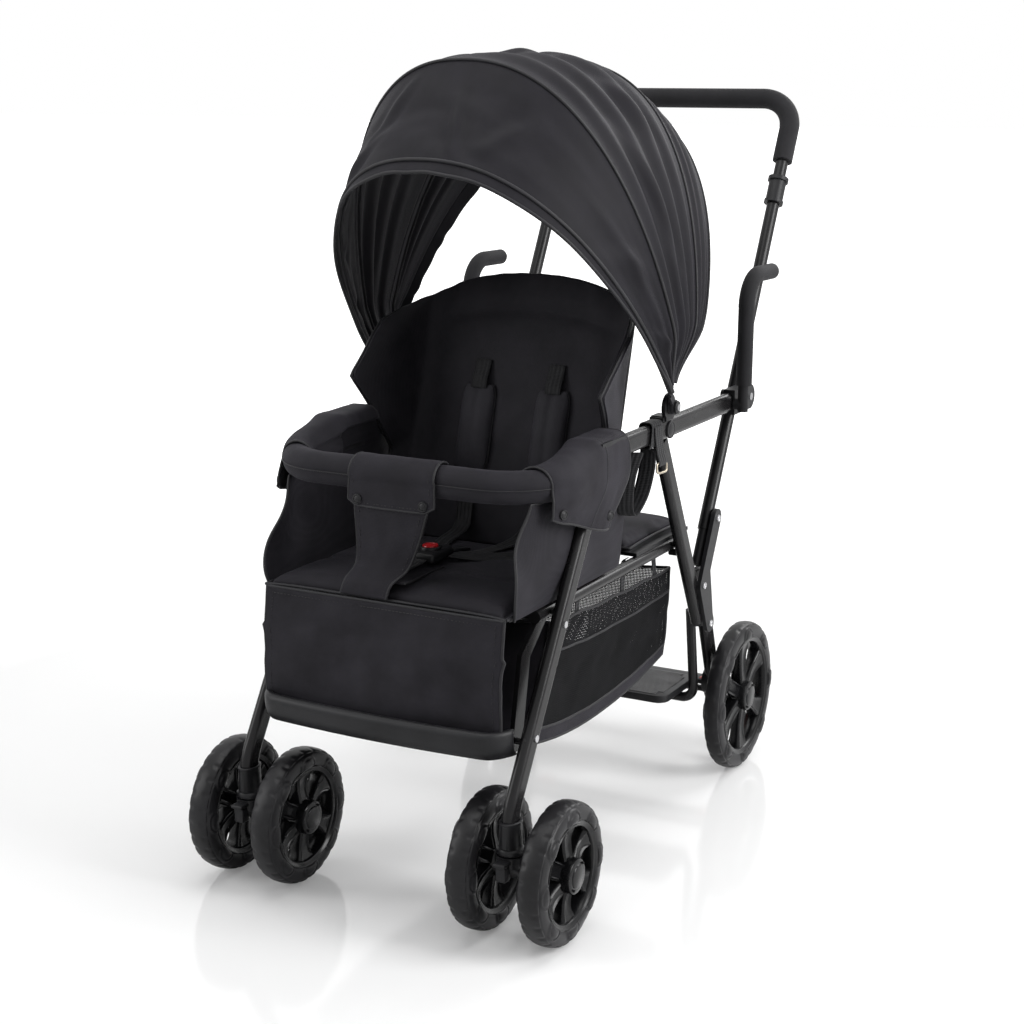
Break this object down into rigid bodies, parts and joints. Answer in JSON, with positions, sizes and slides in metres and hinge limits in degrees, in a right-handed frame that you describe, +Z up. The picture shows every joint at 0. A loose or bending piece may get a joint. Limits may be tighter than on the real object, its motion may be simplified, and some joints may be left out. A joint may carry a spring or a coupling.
{
  "type": "tandem stroller",
  "caption": "Sit-and-stand tandem stroller with a canopied front seat, rear bench, standing platform, basket, swivelling twin front wheels and a folding frame.",
  "frame": {"origin": "on the floor, under the middle of the stroller's length and width", "axes": "+X across to the rider's left, +Y backwards to the push handle, +Z up"},
  "size_m": [0.532, 0.9958, 1.0634],
  "materials": {
    "frame_metal": "satin gunmetal",
    "black_plastic": "moulded black",
    "rim_plastic": "gloss black",
    "tyre_rubber": "matte foam rubber",
    "foam": "matte foam",
    "steel": "plated",
    "button_red": "red",
    "brake_red": "red",
    "canopy_cloth": "black woven polyester",
    "seat_cloth": "black woven polyester",
    "mesh_cloth": "black mesh and cloth"
  },
  "bodies": {
    "chassis": {"front_leg_left": "frame_metal", "front_leg_right": "frame_metal", "side_rail_left": "frame_metal", "side_rail_right": "frame_metal", "leg_elbows": "black_plastic", "rail_brackets": "black_plastic", "lower_rails": "frame_metal", "seat_frame": "frame_metal", "seat_boards": "black_plastic", "seat_cushion": "seat_cloth", "seat_sides": "seat_cloth", "calf_panel": "seat_cloth", "footrest": "black_plastic", "bumper_bar": "seat_cloth", "crotch_flap": "seat_cloth", "arm_flaps": "seat_cloth", "basket": "mesh_cloth", "bench_pad": "seat_cloth", "canopy_hubs": "black_plastic", "canopy_bow_rear": "black_plastic", "canopy_rear_panel": "canopy_cloth", "grips": "foam", "buckle": "black_plastic", "caster_sockets": "black_plastic", "frame_screws": "steel", "rail_strap": "seat_cloth"},
    "button": {"buckle_button": "button_red"},
    "backrest": {"backrest_board": "black_plastic", "backrest_pad": "seat_cloth", "shoulder_pads": "seat_cloth"},
    "canopy_mid": {"canopy_bow_mid": "black_plastic", "canopy_mid_panel": "canopy_cloth"},
    "canopy_front": {"canopy_bow_front": "black_plastic", "canopy_front_panel": "canopy_cloth"},
    "handle": {"handle_tube": "frame_metal", "handle_foam": "foam", "handle_collars": "black_plastic"},
    "rear_frame": {"rear_strut_left": "frame_metal", "rear_strut_right": "frame_metal", "rear_legs": "frame_metal", "knee_plates": "black_plastic", "platform_board": "black_plastic", "platform_tube": "frame_metal", "axle_housings": "black_plastic", "rear_axle": "steel"},
    "brake": {"brake_pedal": "brake_red"},
    "caster_l": {"caster_left": "black_plastic"},
    "caster_r": {"caster_right": "black_plastic"},
    "wheel_1": {"rim_1": "rim_plastic", "tyre_1": "tyre_rubber"},
    "wheel_2": {"rim_2": "rim_plastic", "tyre_2": "tyre_rubber"},
    "wheel_3": {"rim_3": "rim_plastic", "tyre_3": "tyre_rubber"},
    "wheel_4": {"rim_4": "rim_plastic", "tyre_4": "tyre_rubber"},
    "rear_wheel_l": {"rear_rim_left": "rim_plastic", "rear_tyre_left": "tyre_rubber"},
    "rear_wheel_r": {"rear_rim_right": "rim_plastic", "rear_tyre_right": "tyre_rubber"}
  },
  "joints": [
    {"name": "rear_fold", "type": "hinge", "parent": "chassis", "child": "rear_frame", "pos_m": [0, -0.02591, 0.574], "axis": [-1, 0, 0], "range_deg": [0, 40]},
    {"name": "handle_fold", "type": "hinge", "parent": "chassis", "child": "handle", "pos_m": [0, 0.25609, 0.574], "axis": [-1, 0, 0], "range_deg": [0, 120]},
    {"name": "backrest_recline", "type": "hinge", "parent": "chassis", "child": "backrest", "pos_m": [0, -0.11591, 0.382], "axis": [1, 0, 0], "range_deg": [-25, 0]},
    {"name": "canopy_mid_fold", "type": "hinge", "parent": "chassis", "child": "canopy_mid", "pos_m": [0, -0.04291, 0.606], "axis": [1, 0, 0], "range_deg": [-25, 0], "deforming": ["canopy_mid_panel"]},
    {"name": "canopy_front_fold", "type": "hinge", "parent": "canopy_mid", "child": "canopy_front", "pos_m": [0, -0.04291, 0.606], "axis": [1, 0, 0], "range_deg": [-12, 0], "deforming": ["canopy_front_panel"]},
    {"name": "caster_l_swivel", "type": "hinge", "parent": "chassis", "child": "caster_l", "pos_m": [0.193, -0.44491, 0.12], "axis": [0, 0, 1], "continuous": true},
    {"name": "caster_r_swivel", "type": "hinge", "parent": "chassis", "child": "caster_r", "pos_m": [-0.193, -0.44491, 0.12], "axis": [0, 0, 1], "continuous": true},
    {"name": "wheel_1_spin", "type": "hinge", "parent": "caster_l", "child": "wheel_1", "pos_m": [0.242, -0.40791, 0.09], "axis": [1, 0, 0], "continuous": true},
    {"name": "wheel_2_spin", "type": "hinge", "parent": "caster_l", "child": "wheel_2", "pos_m": [0.144, -0.40791, 0.09], "axis": [1, 0, 0], "continuous": true},
    {"name": "wheel_3_spin", "type": "hinge", "parent": "caster_r", "child": "wheel_3", "pos_m": [-0.242, -0.40791, 0.09], "axis": [1, 0, 0], "continuous": true},
    {"name": "wheel_4_spin", "type": "hinge", "parent": "caster_r", "child": "wheel_4", "pos_m": [-0.144, -0.40791, 0.09], "axis": [1, 0, 0], "continuous": true},
    {"name": "rear_wheel_l_spin", "type": "hinge", "parent": "rear_frame", "child": "rear_wheel_l", "pos_m": [0.208, 0.25809, 0.1125], "axis": [1, 0, 0], "continuous": true},
    {"name": "rear_wheel_r_spin", "type": "hinge", "parent": "rear_frame", "child": "rear_wheel_r", "pos_m": [-0.208, 0.25809, 0.1125], "axis": [1, 0, 0], "continuous": true},
    {"name": "brake_press", "type": "hinge", "parent": "rear_frame", "child": "brake", "pos_m": [0, 0.25809, 0.1125], "axis": [-1, 0, 0], "range_deg": [0, 20]},
    {"name": "button_press", "type": "slide", "parent": "chassis", "child": "button", "axis": [0, 0, -1], "range_m": [0, 0.002], "stiffness_N_per_m": 300}
  ],
  "couplings": [
    {"joint": "handle_fold", "follows": "rear_fold", "ratio": 3}
  ]
}
